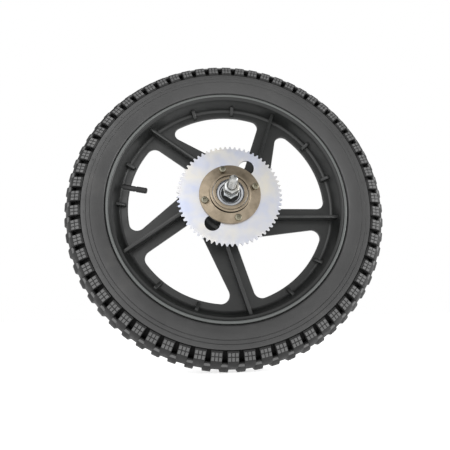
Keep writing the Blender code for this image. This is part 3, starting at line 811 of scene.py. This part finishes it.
def build_bearing(end, out):
    """Both races and the outer seal, which has two raised lips; `out` is the seal's y direction."""
    washer("outer_race_" + end, "bearing_outer_ring_" + end, "wheel", OUTER_RACE_BORE,
           BEARING_RADIUS, ground_steel)
    washer("inner_race_" + end, "bearing_inner_ring_" + end, "axle", NUT_BORE,
           INNER_RACE_RADIUS, ground_steel)
    node = f"bearing_seal_{end}_outer"
    y0, y1 = span(node)
    face, back = (y0, y1) if out < 0 else (y1, y0)
    dish = face - out * 0.00025
    seal = turned("rubber_seal_" + end, [
        (0.0070, dish), (0.0074, face), (0.0082, face), (0.0085, dish), (0.0102, dish),
        (0.0105, face), (0.0110, face), (0.0113, dish), (0.0113, back), (0.0070, back)],
        seal_rubber)
    stand_for(seal, "wheel", node)


def build_clamp(end):
    """What is threaded on one end of the axle: spacer, washer, lock nut and axle nut."""
    washer("cone_" + end, "cone_spacer_" + end, "axle", NUT_BORE, INNER_RACE_RADIUS, zinc_steel)
    washer("plain_washer_" + end, "axle_washer_" + end, "axle", NUT_BORE, WASHER_RADIUS,
           zinc_steel)
    for kind in ("lock_nut_", "axle_nut_"):
        nut = hex_nut(kind + "hex_" + end, NUT_ACROSS_FLATS, NUT_BORE, *span(kind + end))
        stand_for(nut, "axle", kind + end)


def build_hub():
    build_sleeve()
    for end, out in (("drive", -1), ("plain", 1)):
        build_bearing(end, out)
        build_clamp(end)


def hex_nut(name, across, bore, y0, y1):
    """A hexagon with its corners turned off and a countersunk bore."""
    corner = across / math.sqrt(3.0)
    nut = prism(name, circle(corner, 6, start=30.0), y0, y1, zinc_steel)
    face = across * 0.455
    crown = (corner - face) * math.tan(math.radians(NUT_CHAMFER_ANGLE))
    reach = corner + 0.001
    cone = turned("cone", [
        (0.0, y0), (face, y0), (corner, y0 + crown), (reach, y0 + crown + 0.001),
        (reach, y1 - crown - 0.001), (corner, y1 - crown), (face, y1), (0.0, y1)],
        zinc_steel, 72)
    combine(nut, cone, "INTERSECT")
    sink = NUT_COUNTERSINK
    hole = turned("hole", [
        (0.0, y0 - 0.001), (bore + sink + 0.001, y0 - 0.001), (bore, y0 + sink),
        (bore, y1 - sink), (bore + sink + 0.001, y1 + 0.001), (0.0, y1 + 0.001)],
        zinc_steel, 48)
    combine(nut, hole, "DIFFERENCE")
    return nut


def build_axle():
    """A rod with a helical thread on both ends."""
    rows_per_turn = 6
    turns = (AXLE_HALF - THREAD_START - AXLE_CHAMFER) / THREAD_PITCH
    rows = [THREAD_START + THREAD_PITCH * i / rows_per_turn
            for i in range(int(turns * rows_per_turn) + 1)]
    heights = [-y for y in reversed(rows)] + rows
    end = AXLE_RADIUS - AXLE_CHAMFER * 0.75
    profile = [(0.0, -AXLE_HALF), (end, -AXLE_HALF)]
    profile += [(AXLE_RADIUS, y) for y in heights]
    profile += [(end, AXLE_HALF), (0.0, AXLE_HALF)]

    def threaded(radius, y, angle):
        if radius < AXLE_RADIUS or abs(y) < THREAD_START + THREAD_PITCH / 2:
            return radius
        phase = (y / THREAD_PITCH + angle / (2 * math.pi)) % 1.0
        return radius - THREAD_DEPTH * min(1.0, max(0.0, 1.15 - abs(phase - 0.5) * 2.6))

    rod = turned("axle_threaded", profile, zinc_steel, 40, 60.0, threaded)
    stand_for(rod, "axle", "axle")


# ---------------------------------------------------------------- freewheel and sprocket
def freewheel_flange():
    """The front and back y of the flange that the sprocket is screwed to."""
    back = span("sprocket")[0] - GAP
    return back - FREEWHEEL_FLANGE_THICKNESS, back


def build_freewheel():
    """The outer body with its flange; the collar's side and the bore are near-black, painted shade.
    """
    front, back = span("freewheel_outer_body")
    flange_front, flange_back = freewheel_flange()
    outer = turned("freewheel_flanged_body", [
        (0.0226, front + 0.0005), (0.0231, front), (0.0250, front), (0.02560, front + 0.0003),
        (0.02585, front + 0.0009), (0.02585, -0.0413), (0.0261, -0.0404), (0.0268, flange_front),
        (0.0384, flange_front), (0.03895, flange_front + 0.0002), (0.03925, flange_front + 0.0008),
        (0.03925, flange_back - 0.0004), (0.0389, flange_back), (0.0270, flange_back),
        (0.0270, back), (0.0241, back), (0.0241, -0.0333), (0.0246, -0.0333), (0.0246, -0.0405),
        (0.0241, -0.0405), (0.0241, -0.0442), (0.0226, -0.0442)], bronze_steel, 160)
    # painted shade: the collar's side and the bore take the near-black steel
    outer.data.materials.append(shade_dark_steel)
    for face in outer.data.polygons:
        radius = math.hypot(face.center.x, face.center.z)
        if radius < 0.0264 and abs(face.normal.y) < 0.5:
            face.material_index = 1
    stand_for(outer, "driver", "freewheel_outer_body")


def build_lock_ring():
    y0, y1 = span("freewheel_lock_ring")
    lock = turned("lock_ring_turned", [
        (0.0176, y0 + 0.0004), (0.0180, y0), (0.0204, y0), (0.0214, y0 + 0.0002),
        (0.0220, y0 + 0.0006), (0.0220, y1), (0.0176, y1)], bronze_steel, 128)
    for angle in (20.0, 200.0):
        pin = circle(0.0010, 20, polar(LOCK_RING_PIN_CIRCLE, angle))
        combine(lock, prism("pin", pin, y0 - 0.001, y0 + 0.0007, bronze_steel), "DIFFERENCE")
    stand_for(lock, "wheel", "freewheel_lock_ring")


def sprocket_outline():
    """Round roller seats between flat-topped teeth."""
    pitch_radius = CHAIN_PITCH / 2 / math.sin(math.pi / SPROCKET_TEETH)
    tip = CHAIN_PITCH / 2 * (0.6 + 1 / math.tan(math.pi / SPROCKET_TEETH))
    pitch = 360.0 / SPROCKET_TEETH
    outline = []
    for i in range(SPROCKET_TEETH):
        gap = (i + 0.5) * pitch
        seat_x, seat_z = polar(pitch_radius, gap)
        outline += [polar(tip, gap - pitch * 0.5 - pitch * 0.10),
                    polar(tip, gap - pitch * 0.5 + pitch * 0.10)]
        outline += arc((seat_x, seat_z), ROLLER_RADIUS, gap - 90.0, gap - 270.0, 6)
    return outline


def build_sprocket():
    y0, y1 = span("sprocket")
    holes = [circle(SPROCKET_BORE, 96)]
    holes += [circle(SCREW_HOLE_RADIUS, 24, screw_place(i + 1)) for i in range(SCREWS)]
    holes += [circle(SPROCKET_HOLE_RADIUS, 64, polar(SPROCKET_HOLE_CIRCLE, a))
              for a in (SPROCKET_HOLE_ANGLE, SPROCKET_HOLE_ANGLE + 180.0)]
    disc = plate("sprocket_plated", [sprocket_outline()] + holes, y0, y1, 0.00022, zinc_plate, 1)
    stand_for(disc, "driver", "sprocket")


def screw_place(number):
    low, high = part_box(f"flange_screw_{number}")
    return (low.x + high.x) / 2, (low.z + high.z) / 2


def build_screws():
    seat = freewheel_flange()[0] - GAP
    front, back = span("flange_screw_1")
    nut_front, nut_back = span("flange_nut_1")

    def knurled(radius, y, angle):
        grips = radius > SCREW_HEAD_RADIUS - 0.0001 and front + 0.0007 < y < seat - 0.0004
        return radius - 0.00018 if grips and math.cos(angle * SCREW_KNURLS) > 0 else radius

    for number in range(1, SCREWS + 1):
        screw = turned(f"socket_screw_{number}", [
            (0.0, front), (0.0036, front), (0.0040, front + 0.0003),
            (SCREW_HEAD_RADIUS, front + 0.0006), (SCREW_HEAD_RADIUS, front + 0.0009),
            (SCREW_HEAD_RADIUS, seat - 0.0007), (SCREW_HEAD_RADIUS, seat - 0.0003),
            (0.0040, seat), (SCREW_RADIUS, seat), (SCREW_RADIUS, back - 0.0004),
            (SCREW_RADIUS - 0.0004, back), (0.0, back)], screw_steel, 96, 50.0, knurled)
        socket = prism("socket", circle(SOCKET_RADIUS, 6, start=number * 17.0), front - 0.001,
                       front + SOCKET_DEPTH, screw_steel)
        combine(screw, socket, "DIFFERENCE")
        nut = hex_nut(f"screw_nut_{number}", SCREW_NUT_ACROSS_FLATS, SCREW_HOLE_RADIUS,
                      nut_front, nut_back)
        x, z = screw_place(number)
        for obj, node in ((screw, f"flange_screw_{number}"), (nut, f"flange_nut_{number}")):
            obj.data.transform(Matrix.Translation((x, 0.0, z)))
            stand_for(obj, "driver", node)


# ---------------------------------------------------------------- carried-over CAD nodes
def dress_frame():
    """Materials for the CAD nodes that are shown as they are."""
    finishes = {
        "inner_tube": smooth_rubber, "valve_core": brass, "valve_pin": brass,
        "bearing_seal_drive_inner": seal_rubber, "bearing_seal_plain_inner": seal_rubber,
    }
    for name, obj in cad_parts.items():
        finish = finishes.get(name, ground_steel)
        obj.data.materials.clear()
        obj.data.materials.append(finish)


# ---------------------------------------------------------------- floor, light and camera
def build_stage():
    bm = bmesh.new()
    reach = 30.0
    height = -TYRE_RADIUS - 0.0002
    corners = [(-reach, -reach), (reach, -reach), (reach, reach), (-reach, reach)]
    bm.faces.new([bm.verts.new((x, y, height)) for x, y in corners])
    mat, tree, shader = node_material("floor_paint")
    colour = ramp(tree, noise(tree, 1.5, 2.0), [(0.3, shade(0.86)), (0.7, shade(0.90))])
    tree.links.new(colour, shader.inputs["Base Color"])
    shader.inputs["Roughness"].default_value = 0.9
    shader.inputs["Emission Color"].default_value = (1.0, 1.0, 1.0, 1.0)
    shader.inputs["Emission Strength"].default_value = 0.75
    floor = new_object("floor", bm, mat)
    if floor.data.polygons[0].normal.z < 0:
        floor.data.flip_normals()


def build_world():
    """A soft room, brightest above the horizon and dim overhead; the camera sees plain white."""
    world = bpy.data.worlds.new("studio")
    bpy.context.scene.world = world
    world.use_nodes = True
    tree = world.node_tree
    room = tree.nodes["Background"]
    place = tree.nodes.new("ShaderNodeTexCoord")
    split = tree.nodes.new("ShaderNodeSeparateXYZ")
    lift = tree.nodes.new("ShaderNodeMapRange")
    lift.inputs["From Min"].default_value = -1.0
    tree.links.new(place.outputs["Generated"], split.inputs["Vector"])
    tree.links.new(split.outputs["Z"], lift.inputs["Value"])
    colour = ramp(tree, lift.outputs["Result"], [
        (0.45, shade(0.45)), (0.52, shade(0.75)), (0.68, shade(1.0)), (0.82, shade(0.30))])
    tree.links.new(colour, room.inputs["Color"])
    room.inputs["Strength"].default_value = 1.0
    white = tree.nodes.new("ShaderNodeBackground")
    white.inputs["Color"].default_value = (1.0, 1.0, 1.0, 1.0)
    ray = tree.nodes.new("ShaderNodeLightPath")
    choice = tree.nodes.new("ShaderNodeMixShader")
    tree.links.new(ray.outputs["Is Camera Ray"], choice.inputs["Fac"])
    tree.links.new(room.outputs["Background"], choice.inputs[1])
    tree.links.new(white.outputs["Background"], choice.inputs[2])
    tree.links.new(choice.outputs["Shader"], tree.nodes["World Output"].inputs["Surface"])


def area_light(name, place, size, power):
    """A square light that points at the middle of the wheel."""
    light = bpy.data.lights.new(name, "AREA")
    light.shape = "SQUARE"
    light.size = size
    light.energy = power
    obj = bpy.data.objects.new(name, light)
    bpy.context.collection.objects.link(obj)
    obj.location = place
    obj.rotation_euler = (-Vector(place)).to_track_quat("-Z", "Y").to_euler()


def build_lights():
    area_light("key", (-1.1, -1.7, 0.75), 1.5, 15.0)
    area_light("side", (1.6, -0.6, 0.25), 0.8, 12.0)
    area_light("top", (0.1, 0.3, 1.8), 0.8, 2.0)


def build_camera():
    right = Vector((0.9974, -0.0700, -0.0197))
    up = Vector((0.0, -0.2710, 0.9626))
    forward = Vector((0.0727, 0.9600, 0.2703))
    place = Vector((-0.0368, -0.4284, -0.1507))
    camera = bpy.data.cameras.new("camera")
    camera.sensor_width = 36.0
    camera.lens = 26.4
    camera.clip_start = 0.01
    obj = bpy.data.objects.new("camera", camera)
    bpy.context.collection.objects.link(obj)
    axes = Matrix((right, up, -forward)).transposed().to_4x4()
    obj.matrix_world = Matrix.Translation(place) @ axes
    bpy.context.scene.camera = obj


dress_frame()
build_tyre()
build_rim()
build_valve()
build_hub()
build_axle()
build_freewheel()
build_lock_ring()
build_sprocket()
build_screws()
build_stage()
build_world()
build_lights()
build_camera()
bpy.context.scene.view_settings.view_transform = "Standard"
